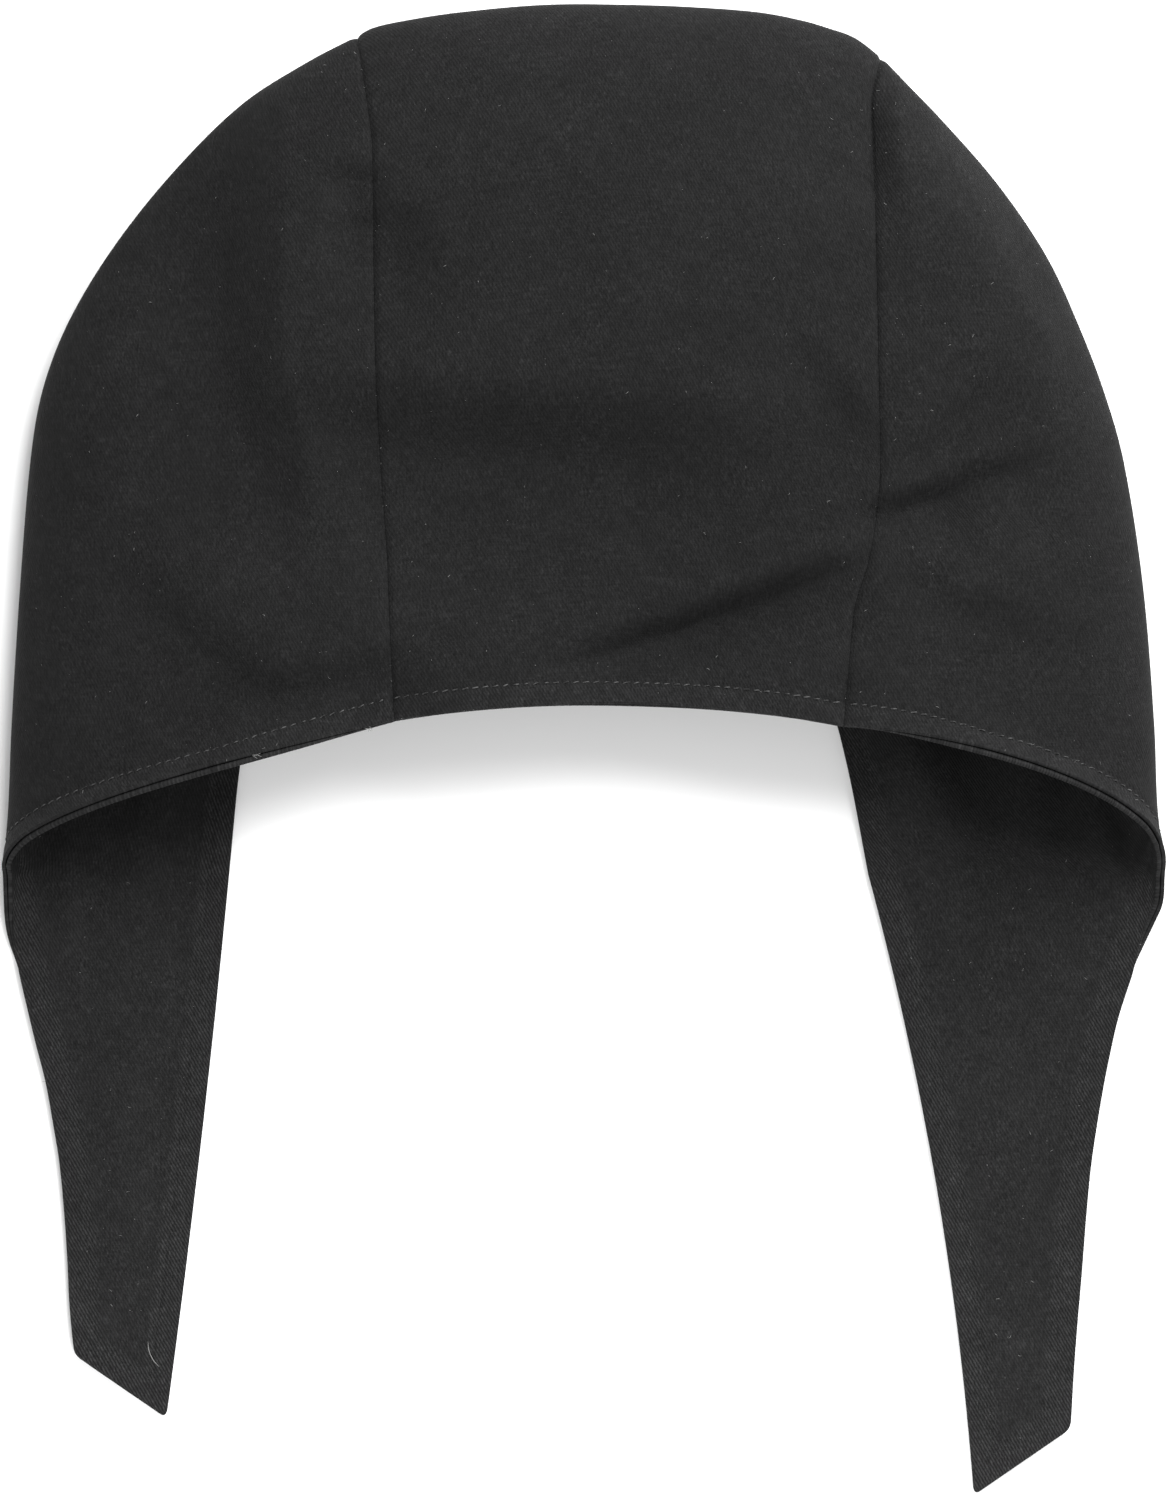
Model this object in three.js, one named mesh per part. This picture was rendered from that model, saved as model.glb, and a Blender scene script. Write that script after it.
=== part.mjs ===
// A black lined linen coif, laid on a table with its back up and its ties drawn down.
//
// The coif is sewn from three cuts of cloth: a crown strip that runs from the nape over the head to the
// brow, and a D-shaped side cut on each side of it, which runs out into a tie. A lining of the same three
// cuts lies inside. Laid down, the strip folds over at the top of the crown and each side cut folds over at
// its outer edge, so that the nape half lies above the brow half, with the hollow for the head between.
//
// Millimetres. X is to the right and Y towards the top of the crown, seen from above, and Z is up from the
// table. "Down" is a distance from the top of the crown towards the ties.

import * as THREE from 'three';
import { mergeGeometries, mergeVertices } from 'three/addons/utils/BufferGeometryUtils.js';

// Cloth
const SHELL_WALL = 1.0;
const LINING_WALL = 1.0;
const LAYER_GAP = 0.3; // between the shell and its lining
const SEAM_GAP = 0.3; // between the edges of two cuts at a seam

// Crown strip. These sizes and the next run to the middle of the two layers, not to their outer face.
const CROWN_DEPTH = 188; // from the top of the crown down to the nape hem, at its middle
const BROW_DEPTH = 175; // from the top of the crown down to the brow edge, on the under side
const STRIP_TOP_WIDTH = 140.7;
const STRIP_NAPE_WIDTH = 119.6;
const STRIP_BROW_WIDTH = 128;
const STRIP_SHIFT = 9.4; // the strip's middle lies this far right of the coif's, on the upper side
const BROW_SHIFT = -12.6; // and here at the brow edge
const LEFT_SHOULDER = 8.6; // how far down each seam passes over the top fold
const RIGHT_SHOULDER = 14.2;
const LEFT_NAPE_ARCH = 4.3; // how far the nape hem drops from its middle to each seam
const RIGHT_NAPE_ARCH = 5.8;
const CROWN_BULGE = 3; // how far the strip stands above its two seams

// Side cuts
const LEFT_HALF_WIDTH = 155.8; // from the coif's middle out to the corner where the hem turns under
const RIGHT_HALF_WIDTH = 155.8;
const SIDE_DEPTH = 233.8; // from the top of the crown down to those corners
const LEFT_HEM_EASE = 1; // how late the nape hem drops on its way out to the corner
const RIGHT_HEM_EASE = 1.45;

// Lie
const LOFT = 38; // height of the seams above the table
const FOLD_HEIGHT = 8; // height of the outermost line of the folded edges
const FOLD_ROUND = 12; // how far in the under side is round before it lies flat

// Ties
const LEFT_TIE_LENGTH = 146; // from the corner down to the tip
const RIGHT_TIE_LENGTH = 167.6;
const LEFT_TIE_INSET = 17.8; // how far the outer edge runs in from the corner
const RIGHT_TIE_INSET = 24;
const LEFT_TIE_ROOT = 59.7; // width at the corner
const RIGHT_TIE_ROOT = 78.8;
const LEFT_TIE_END = 24.9; // width across the tip
const RIGHT_TIE_END = 26.2;
const LEFT_TIE_SLANT = 16; // how much longer the inner edge is than the outer one
const RIGHT_TIE_SLANT = 17.5;
const LEFT_TIE_BOW = 0.8; // how far the inner edge bows in from a straight line
const RIGHT_TIE_BOW = -4.1;
const TIE_LANDING = 18; // the outer edge comes down to the table over this length

// Shape tables. Each row is a station, and every length is a share of the size that its heading names.

// The folded outer edge, from the top of the seam to the corner: "down" as a share of that drop, and how
// far out it is, as a share of the way from the seam's top to the corner.
const FOLDED_EDGE = [
  { down: 0, left: 0, right: 0 },
  { down: 0.03, left: 0.135, right: 0.08 },
  { down: 0.08, left: 0.32, right: 0.216 },
  { down: 0.16, left: 0.513, right: 0.413 },
  { down: 0.25, left: 0.683, right: 0.586 },
  { down: 0.34, left: 0.812, right: 0.704 },
  { down: 0.42, left: 0.885, right: 0.79 },
  { down: 0.5, left: 0.919, right: 0.854 },
  { down: 0.65, left: 0.949, right: 0.921 },
  { down: 0.82, left: 0.974, right: 0.961 },
  { down: 0.93, left: 0.985, right: 0.974 },
  { down: 1, left: 1, right: 1 },
];

// How far each seam of the upper side sways towards the strip's middle, as a share of the strip's top
// width, with "down" as a share of the seam's length from the top fold to the nape hem.
const SEAM_SWAY = [
  { down: 0, left: 0, right: 0 },
  { down: 0.06, left: 0.008, right: 0.012 },
  { down: 0.14, left: 0.018, right: 0.006 },
  { down: 0.22, left: 0.017, right: -0.003 },
  { down: 0.34, left: 0.009, right: -0.014 },
  { down: 0.5, left: 0.002, right: -0.029 },
  { down: 0.63, left: -0.001, right: -0.041 },
  { down: 0.76, left: 0.002, right: -0.028 },
  { down: 0.82, left: 0.001, right: -0.01 },
  { down: 0.9, left: 0, right: -0.004 },
  { down: 1, left: 0, right: 0 },
];

// How high the strip's top edge arches between its two shoulders, as a share of their mean drop.
const TOP_ARCH = [
  { across: 0, rise: 0 },
  { across: 0.03, rise: 0.22 },
  { across: 0.09, rise: 0.42 },
  { across: 0.19, rise: 0.66 },
  { across: 0.36, rise: 0.93 },
  { across: 0.53, rise: 1.01 },
  { across: 0.65, rise: 1.01 },
  { across: 0.77, rise: 0.95 },
  { across: 0.85, rise: 0.8 },
  { across: 0.9, rise: 0.645 },
  { across: 0.95, rise: 0.44 },
  { across: 1, rise: 0 },
];

// The face edge, from the brow end of the seam round to the tie's root: shares of the way across and down.
const FACE_EDGE = [
  { at: 0, leftAcross: 0, leftDown: 0, rightAcross: 0, rightDown: 0 },
  { at: 0.25, leftAcross: 0.4, leftDown: 0.045, rightAcross: 0.27, rightDown: 0.06 },
  { at: 0.5, leftAcross: 0.7, leftDown: 0.22, rightAcross: 0.48, rightDown: 0.21 },
  { at: 0.75, leftAcross: 0.86, leftDown: 0.53, rightAcross: 0.75, rightDown: 0.52 },
  { at: 1, leftAcross: 1, leftDown: 1, rightAcross: 1, rightDown: 1 },
];

// The outer edge of each tie, from the corner to the tip, as a share of the tie's inset.
const TIE_EDGE = [
  { along: 0, left: 0, right: 0 },
  { along: 0.05, left: 0, right: 0 },
  { along: 0.085, left: 0.005, right: 0.065 },
  { along: 0.12, left: 0.03, right: 0.165 },
  { along: 0.18, left: 0.12, right: 0.305 },
  { along: 0.26, left: 0.255, right: 0.465 },
  { along: 0.35, left: 0.41, right: 0.59 },
  { along: 0.43, left: 0.56, right: 0.68 },
  { along: 0.52, left: 0.68, right: 0.765 },
  { along: 0.6, left: 0.775, right: 0.815 },
  { along: 0.7, left: 0.845, right: 0.865 },
  { along: 0.8, left: 0.895, right: 0.918 },
  { along: 0.9, left: 0.93, right: 0.965 },
  { along: 1, left: 1, right: 1 },
];

// Dents of the upper side. "across" is a share of the half width from the coif's middle, "down" of the
// crown's depth, "reach" and "spread" the dent's half length and half width as shares of the crown's depth,
// "depth" a share of the loft and "turn" the dent's angle to X in degrees.
const DENTS = [
  { across: 0.235, down: 0.858, reach: 0.21, spread: 0.036, depth: 0.085, turn: 17 }, // long crease
  { across: 0.66, down: 0.674, reach: 0.13, spread: 0.026, depth: 0.07, turn: 14 }, // its other half
  { across: 0.535, down: 0.19, reach: 0.09, spread: 0.024, depth: 0.07, turn: 86 }, // beside the right seam
  { across: -0.52, down: 0.47, reach: 0.27, spread: 0.07, depth: 0.05, turn: -85 }, // left hollow
  { across: 0.03, down: 0.585, reach: 0.34, spread: 0.07, depth: 0.045, turn: 2 }, // across the strip
  { across: -0.3, down: 0.3, reach: 0.11, spread: 0.04, depth: 0.04, turn: 16 }, // over the left seam
  { across: -0.4, down: 0.93, reach: 0.1, spread: 0.03, depth: 0.04, turn: 22 }, // at the left nape
];

// Mesh
const ROWS = 20; // from the top of the seam to the hem
const BROW_ROWS = 16; // of those, the rows that end at the seam on the under side
const ROW_EASE = 1.35; // rows crowd towards the top fold
const TIE_ROWS = 11;
const TIE_EASE = 1.3;
const STRIP_COLUMNS = 8;
const UPPER_COLUMNS = 8;
const ROUND_COLUMNS = 3;
const UNDER_COLUMNS = 5;
const RISE_SHARE = 0.6; // the seams reach their full height this far down

const UNDER_HEIGHT = SHELL_WALL + LAYER_GAP / 2; // of the middle of the under side's two layers
const rowShare = (row) => (row / ROWS) ** ROW_EASE;

const SIDES = {
  left: {
    name: 'left', sign: -1, halfWidth: LEFT_HALF_WIDTH, shoulder: LEFT_SHOULDER,
    napeDown: CROWN_DEPTH + LEFT_NAPE_ARCH, hemEase: LEFT_HEM_EASE, tieLength: LEFT_TIE_LENGTH,
    tieInset: LEFT_TIE_INSET, tieRoot: LEFT_TIE_ROOT, tieEnd: LEFT_TIE_END, tieSlant: LEFT_TIE_SLANT, tieBow: LEFT_TIE_BOW,
  },
  right: {
    name: 'right', sign: 1, halfWidth: RIGHT_HALF_WIDTH, shoulder: RIGHT_SHOULDER,
    napeDown: CROWN_DEPTH + RIGHT_NAPE_ARCH, hemEase: RIGHT_HEM_EASE, tieLength: RIGHT_TIE_LENGTH,
    tieInset: RIGHT_TIE_INSET, tieRoot: RIGHT_TIE_ROOT, tieEnd: RIGHT_TIE_END, tieSlant: RIGHT_TIE_SLANT, tieBow: RIGHT_TIE_BOW,
  },
};

const { lerp, clamp } = THREE.MathUtils;

// A column of a table, read smoothly between its rows.
function follow(table, key, column, at) {
  const last = table.length - 1;
  let i = 0;
  while (i < last - 1 && at > table[i + 1][key]) i++;
  const slope = (n) => {
    const before = table[Math.max(n - 1, 0)];
    const after = table[Math.min(n + 1, last)];
    return (after[column] - before[column]) / (after[key] - before[key]);
  };
  const [a, b] = [table[i], table[i + 1]];
  const span = b[key] - a[key];
  const t = clamp((at - a[key]) / span, 0, 1);
  const [t2, t3] = [t * t, t * t * t];
  return (2 * t3 - 3 * t2 + 1) * a[column] + (t3 - 2 * t2 + t) * span * slope(i)
    + (3 * t2 - 2 * t3) * b[column] + (t3 - t2) * span * slope(i + 1);
}

// 0 at the start and 1 at the end, round like the quarter of an ellipse.
const quarterRound = (share) => Math.sqrt(1 - (1 - clamp(share, 0, 1)) ** 2);

const point = (x, down, z) => new THREE.Vector3(x, -down, z);

// How deep the upper side is dented at a place.
function dentAt(x, down) {
  const halfWidth = (LEFT_HALF_WIDTH + RIGHT_HALF_WIDTH) / 2;
  let depth = 0;
  for (const dent of DENTS) {
    const turn = THREE.MathUtils.degToRad(dent.turn);
    const dx = x - dent.across * halfWidth;
    const dy = dent.down * CROWN_DEPTH - down;
    const along = (dx * Math.cos(turn) + dy * Math.sin(turn)) / (dent.reach * CROWN_DEPTH);
    const beside = (dy * Math.cos(turn) - dx * Math.sin(turn)) / (dent.spread * CROWN_DEPTH);
    depth += dent.depth * LOFT * Math.exp(-along * along - beside * beside);
  }
  return depth;
}

// Where a seam passes over the top fold.
const seamTopX = (side) => STRIP_SHIFT + side.sign * STRIP_TOP_WIDTH / 2;

// A seam on the upper side, from the top fold to the nape hem, before it is dented.
function upperSeam(side, share) {
  const straight = lerp(seamTopX(side), STRIP_SHIFT + side.sign * STRIP_NAPE_WIDTH / 2, share);
  const sway = follow(SEAM_SWAY, 'down', side.name, share) * STRIP_TOP_WIDTH;
  const rise = quarterRound(share / RISE_SHARE);
  return {
    place: point(straight - side.sign * sway, lerp(side.shoulder, side.napeDown, share),
      lerp(FOLD_HEIGHT, LOFT, rise)),
    rise,
  };
}

// A seam on the under side, from the top fold to the brow edge.
function underSeam(side, share) {
  const x = lerp(seamTopX(side), BROW_SHIFT + side.sign * STRIP_BROW_WIDTH / 2, share);
  const run = share * (BROW_DEPTH - side.shoulder);
  const z = lerp(FOLD_HEIGHT, UNDER_HEIGHT, quarterRound(run / FOLD_ROUND));
  return point(x, lerp(side.shoulder, BROW_DEPTH, share), z);
}

// The outermost line of a side cut, where it folds under.
function foldedEdge(side, share) {
  const out = follow(FOLDED_EDGE, 'down', side.name, share);
  const x = lerp(seamTopX(side), side.sign * side.halfWidth, out);
  return point(x, lerp(side.shoulder, SIDE_DEPTH, share), FOLD_HEIGHT);
}

// The inner edge of a tie, which is the lower part of the face edge.
function tieInner(side, along) {
  const root = side.sign * (side.halfWidth - side.tieRoot);
  const end = side.sign * (side.halfWidth - side.tieInset - side.tieEnd);
  const bow = side.tieBow * 4 * along * (1 - along);
  const x = lerp(root, end, along) - side.sign * bow;
  return point(x, SIDE_DEPTH + along * side.tieLength, UNDER_HEIGHT);
}

function tieOuter(side, along) {
  const inset = follow(TIE_EDGE, 'along', side.name, along) * side.tieInset;
  const run = along * (side.tieLength - side.tieSlant);
  const lift = Math.max(0, 1 - run / TIE_LANDING) ** 2;
  return point(side.sign * (side.halfWidth - inset), SIDE_DEPTH + run, lerp(UNDER_HEIGHT, FOLD_HEIGHT, lift));
}

function faceEdge(side, at) {
  const brow = underSeam(side, 1);
  const root = tieInner(side, 0);
  const across = follow(FACE_EDGE, 'at', `${side.name}Across`, at);
  const down = follow(FACE_EDGE, 'at', `${side.name}Down`, at);
  return point(lerp(brow.x, root.x, across), lerp(-brow.y, -root.y, down), UNDER_HEIGHT);
}

// The crown strip as rows of points, from the brow edge over the top fold to the nape hem.
function stripRows() {
  const rows = [];
  for (let row = -BROW_ROWS; row <= ROWS; row++) {
    const under = row < 0;
    const share = under ? rowShare(-row) / rowShare(BROW_ROWS) : rowShare(row);
    const ends = [SIDES.left, SIDES.right].map((side) => (
      under ? { place: underSeam(side, share), rise: 0 } : upperSeam(side, share)));
    const topArch = (LEFT_SHOULDER + RIGHT_SHOULDER) / 2;
    const hemArch = under ? 0 : (LEFT_NAPE_ARCH + RIGHT_NAPE_ARCH) / 2;
    const points = [];
    for (let column = 0; column <= STRIP_COLUMNS; column++) {
      const across = (1 - Math.cos(Math.PI * column / STRIP_COLUMNS)) / 2;
      const full = 4 * across * (1 - across);
      const p = ends[0].place.clone().lerp(ends[1].place, across);
      p.y += lerp(topArch * follow(TOP_ARCH, 'across', 'rise', across), hemArch * full, share);
      p.z += ends[0].rise * (CROWN_BULGE * full - dentAt(p.x, -p.y));
      points.push(p);
    }
    rows.push(points);
  }
  return rows;
}

// The upper side of a side cut, from the seam out to the folded edge.
function upperPart(side, row) {
  const share = rowShare(row);
  const seam = upperSeam(side, share);
  const edge = foldedEdge(side, share);
  const points = [];
  for (let column = 0; column < UPPER_COLUMNS; column++) {
    const t = column / UPPER_COLUMNS;
    const angle = t * Math.PI / 2;
    const p = point(
      lerp(seam.place.x, edge.x, Math.sin(angle)),
      lerp(-seam.place.y, -edge.y, t ** side.hemEase),
      lerp(edge.z, seam.place.z, Math.cos(angle)),
    );
    p.z -= seam.rise * Math.cos(angle) * dentAt(p.x, -p.y);
    points.push(p);
  }
  return points;
}

// The under side of a side cut, from its outer edge round onto the table and in to its inner edge.
function underPart(outer, inner) {
  const width = Math.abs(outer.x - inner.x);
  const round = Math.min(FOLD_ROUND, width);
  const points = [];
  for (let column = 0; column <= ROUND_COLUMNS + UNDER_COLUMNS; column++) {
    const angle = Math.min(column / ROUND_COLUMNS, 1) * Math.PI / 2;
    const flat = Math.max(0, column - ROUND_COLUMNS) / UNDER_COLUMNS;
    const run = lerp(round * (1 - Math.cos(angle)), width, flat);
    const p = outer.clone().lerp(inner, width > 0 ? run / width : 0);
    p.z = lerp(outer.z, inner.z, Math.sin(angle));
    points.push(p);
  }
  return points;
}

// A side cut as rows of points. The rows of the tie start at the folded edge's column.
function sideRows(side) {
  const rows = [];
  for (let row = 0; row <= ROWS; row++) {
    const edge = foldedEdge(side, rowShare(row));
    const inner = row <= BROW_ROWS
      ? underSeam(side, rowShare(row) / rowShare(BROW_ROWS))
      : faceEdge(side, (row - BROW_ROWS) / (ROWS - BROW_ROWS));
    rows.push([...upperPart(side, row), ...underPart(edge, inner)]);
  }
  for (let row = 1; row <= TIE_ROWS; row++) {
    const along = (row / TIE_ROWS) ** TIE_EASE;
    rows.push(underPart(tieOuter(side, along), tieInner(side, along)));
  }
  return rows;
}

// Joins rows of points into a sheet. Rows of fewer points meet the last columns of the row before, and
// points that fall together become one.
function sheetOf(rows, facing) {
  const points = [];
  const index = new Map();
  const numbered = rows.map((row) => row.map((p) => {
    const key = p.toArray().map((n) => n.toFixed(5)).join();
    if (!index.has(key)) {
      index.set(key, points.length);
      points.push(p);
    }
    return index.get(key);
  }));
  const faces = [];
  for (let row = 0; row + 1 < numbered.length; row++) {
    const next = numbered[row + 1];
    const here = numbered[row].slice(numbered[row].length - next.length);
    for (let column = 0; column + 1 < next.length; column++) {
      const [a, b, c, d] = [here[column], here[column + 1], next[column + 1], next[column]];
      for (const face of [[a, b, c], [a, c, d]]) {
        if (new Set(face).size === 3) faces.push(facing > 0 ? face : face.reverse());
      }
    }
  }
  return { points, faces, numbered };
}

// The outward direction at every point of all sheets together, so that two cuts agree along their seam.
function outwardDirections(sheets) {
  const parts = sheets.map(({ points, faces }) => {
    const geometry = new THREE.BufferGeometry().setFromPoints(points);
    geometry.setIndex(faces.flat());
    return geometry;
  });
  const whole = mergeVertices(mergeGeometries(parts));
  whole.computeVertexNormals();
  const place = whole.getAttribute('position');
  const normal = whole.getAttribute('normal');
  const found = new Map();
  for (let i = 0; i < place.count; i++) {
    const key = new THREE.Vector3().fromBufferAttribute(place, i).toArray().map((n) => n.toFixed(3)).join();
    found.set(key, new THREE.Vector3().fromBufferAttribute(normal, i));
  }
  return (p) => found.get(p.toArray().map((n) => Math.fround(n).toFixed(3)).join());
}

// Draws a cut's seam edges back from the seam line by half the seam's gap.
function drawnBack(sheet, seams) {
  const moved = sheet.points.map((p) => p.clone());
  for (const [edge, towards] of seams) {
    const step = sheet.points[towards].clone().sub(sheet.points[edge]).setLength(SEAM_GAP / 2);
    moved[edge].copy(sheet.points[edge]).add(step);
  }
  return moved;
}

// A closed wall between two distances outward from a sheet.
function wall(sheet, seams, outward, near, far) {
  const middle = drawnBack(sheet, seams);
  const directions = sheet.points.map(outward);
  const count = middle.length;
  const skin = (distance) => middle.map((p, i) => p.clone().addScaledVector(directions[i], distance));
  const faces = [];
  const uses = new Map();
  for (const [a, b, c] of sheet.faces) {
    faces.push([a + count, b + count, c + count], [c, b, a]);
    for (const [from, to] of [[a, b], [b, c], [c, a]]) uses.set(`${from},${to}`, [from, to]);
  }
  for (const [from, to] of uses.values()) {
    if (!uses.has(`${to},${from}`)) {
      faces.push([from, to, to + count], [from, to + count, from + count]);
    }
  }
  const geometry = new THREE.BufferGeometry().setFromPoints([...skin(near), ...skin(far)]);
  geometry.setIndex(faces.flat());
  geometry.computeVertexNormals();
  return geometry;
}

// The points of a strip's or side cut's sheet that lie on a seam, each with the point to draw back towards.
function stripSeams(sheet) {
  return sheet.numbered.flatMap((row) => [[row[0], row[1]], [row.at(-1), row.at(-2)]]);
}

function sideSeams(sheet) {
  const pole = sheet.numbered[0][0];
  const seams = [[pole, sheet.numbered[1][UPPER_COLUMNS]]];
  for (let row = 1; row <= ROWS; row++) seams.push([sheet.numbered[row][0], sheet.numbered[row][1]]);
  for (let row = 1; row <= BROW_ROWS; row++) {
    seams.push([sheet.numbered[row].at(-1), sheet.numbered[row].at(-2)]);
  }
  return seams;
}

const clothBlack = { roughness: 0.9, metalness: 0 };
const shellCloth = new THREE.MeshStandardMaterial({ color: 0x2e2e2e, ...clothBlack });
const liningCloth = new THREE.MeshStandardMaterial({ color: 0x333333, ...clothBlack });

const strip = sheetOf(stripRows(), -1);
const leftSide = sheetOf(sideRows(SIDES.left), 1);
const rightSide = sheetOf(sideRows(SIDES.right), -1);
const outward = outwardDirections([strip, leftSide, rightSide]);

const cuts = [
  { name: 'crown', sheet: strip, seams: stripSeams(strip) },
  { name: 'left_side', sheet: leftSide, seams: sideSeams(leftSide) },
  { name: 'right_side', sheet: rightSide, seams: sideSeams(rightSide) },
];

const coif = new THREE.Group();
for (const { name, sheet, seams } of cuts) {
  const near = LAYER_GAP / 2;
  const shell = new THREE.Mesh(wall(sheet, seams, outward, near, near + SHELL_WALL), shellCloth);
  shell.name = `${name}_shell`;
  const lining = new THREE.Mesh(wall(sheet, seams, outward, -near - LINING_WALL, -near), liningCloth);
  lining.name = `${name}_lining`;
  coif.add(shell, lining);
}

// The origin is on the table, under the middle of the coif's outline.
const outline = new THREE.Box3().setFromObject(coif);
const middle = outline.getCenter(new THREE.Vector3());
coif.position.set(-middle.x, -middle.y, -outline.min.z);
coif.updateMatrixWorld(true);

export default coif;
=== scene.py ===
import math
import random

import bpy
import numpy as np
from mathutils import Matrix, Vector, noise
from mathutils.kdtree import KDTree


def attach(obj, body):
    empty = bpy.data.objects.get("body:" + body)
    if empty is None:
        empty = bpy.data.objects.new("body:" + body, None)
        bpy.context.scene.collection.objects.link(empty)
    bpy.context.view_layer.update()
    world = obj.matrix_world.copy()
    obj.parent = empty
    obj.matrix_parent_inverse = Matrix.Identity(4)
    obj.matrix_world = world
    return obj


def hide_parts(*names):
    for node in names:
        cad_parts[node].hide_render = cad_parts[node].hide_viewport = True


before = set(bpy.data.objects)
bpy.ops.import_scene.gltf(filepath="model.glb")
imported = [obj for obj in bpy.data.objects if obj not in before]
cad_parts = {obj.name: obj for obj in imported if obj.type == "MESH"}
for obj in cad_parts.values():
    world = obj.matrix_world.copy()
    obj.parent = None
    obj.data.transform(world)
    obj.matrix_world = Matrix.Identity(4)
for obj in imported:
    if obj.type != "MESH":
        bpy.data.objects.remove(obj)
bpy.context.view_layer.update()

MM = 0.001


# Camera
# It looks straight down on the coif as it lies on the table, from high up through a long lens, and the coif
# fills its frame from edge to edge.
bpy.ops.object.select_all(action="DESELECT")
CAMERA_HEIGHT = 2200 * MM
CAMERA_SHIFT = 0.3 * MM
FRAME_HEIGHT = 405 * MM  # what the frame's 1500 pixels cover, at the height of the folded edges
FOLD_LEVEL = 8 * MM
SENSOR_HEIGHT = 36  # in millimetres, like the lens
bpy.ops.object.camera_add(location=(CAMERA_SHIFT, 0, CAMERA_HEIGHT), rotation=(0, 0, 0))
camera = bpy.context.object
camera.name = "camera"
camera.data.sensor_fit = "VERTICAL"
camera.data.sensor_height = SENSOR_HEIGHT
camera.data.lens = SENSOR_HEIGHT * (CAMERA_HEIGHT - FOLD_LEVEL) / FRAME_HEIGHT
bpy.context.scene.camera = camera


# Crown strip, outer cloth
# A long strip of black linen twill that runs from the nape hem over the top of the head to the brow. Its long
# edges are seamed to the side cuts and pressed flat, and its two ends are turned under and topstitched. The
# coif lies on its face, so the strip folds over at the top of the crown and comes back underneath.
#
# Lengths are in millimetres. "down" runs from the top of the crown towards the ties, and the strip and the
# side cuts share their rows, so that they meet stitch for stitch along the seams.
ORIGIN_DOWN = 200.1  # the table's origin lies this far down from the top of the crown
CROWN_DEPTH = 188.0  # to the nape hem
BROW_DEPTH = 175.0  # to the brow edge underneath
STRIP_TOP_WIDTH = 140.7
STRIP_NAPE_WIDTH = 119.6
STRIP_BROW_WIDTH = 128.0
STRIP_SHIFT = 9.4  # how far the strip lies to the right
BROW_SHIFT = -12.6  # and its brow end underneath
CROWN_BULGE = 3.0
LOFT = 38.0  # the seams' height above the table where the hollow is open
FOLD_HEIGHT = 8.0
FOLD_ROUND = 12.0  # the run over which the cloth comes down from a fold to the table
UNDER_HEIGHT = 1.15  # where the cloth lies on the table, the middle of its two layers is this high
RISE_SHARE = 0.6  # the upper side rises to its loft over this share of the way down
SHELL_WALL = (0.15, 1.15)  # the outer cloth's two faces, outward from the middle of the two layers

# The two side cuts. The folded edge lies out by "half_width" at its widest, and the seam's top lies down by
# "shoulder". At the seam the nape hem is "nape_arch" lower than in the strip's middle, and "hem_ease" above 1
# keeps it level for longer beside the seam. A tie is "tie_root" wide where it starts and "tie_end" wide where
# it ends. Its outer edge comes in by "tie_inset". Its inner edge bows towards the coif's middle by "tie_bow"
# and runs on past the outer one by "tie_slant".
SIDES = {
    "left": {"sign": -1, "half_width": 155.8, "shoulder": 8.6, "nape_arch": 4.3, "hem_ease": 1.0,
             "tie_length": 147.2, "tie_inset": 17.8, "tie_root": 59.7, "tie_end": 24.9, "tie_slant": 17.2,
             "tie_bow": 0.8},
    "right": {"sign": 1, "half_width": 155.8, "shoulder": 14.2, "nape_arch": 5.8, "hem_ease": 1.45,
              "tie_length": 168.1, "tie_inset": 24.0, "tie_root": 78.8, "tie_end": 26.2, "tie_slant": 18.0,
              "tie_bow": -4.1},
}

# How far each seam sways towards the strip's middle, as a share of the strip's top width.
SEAM_SWAY = {
    "down": [0, 0.06, 0.14, 0.22, 0.34, 0.5, 0.63, 0.76, 0.82, 0.9, 1],
    "left": [0, 0.008, 0.018, 0.017, 0.009, 0.002, -0.001, 0.002, 0.001, 0, 0],
    "right": [0, 0.012, 0.006, -0.003, -0.014, -0.029, -0.041, -0.028, -0.01, -0.004, 0],
}

# How high the top fold arches between the strip's two shoulders, as a share of their mean drop.
TOP_ARCH = {
    "across": [0, 0.03, 0.09, 0.19, 0.36, 0.53, 0.65, 0.77, 0.85, 0.9, 0.95, 1],
    "rise": [0, 0.22, 0.42, 0.66, 0.93, 1.01, 1.01, 0.95, 0.8, 0.645, 0.44, 0],
}

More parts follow.
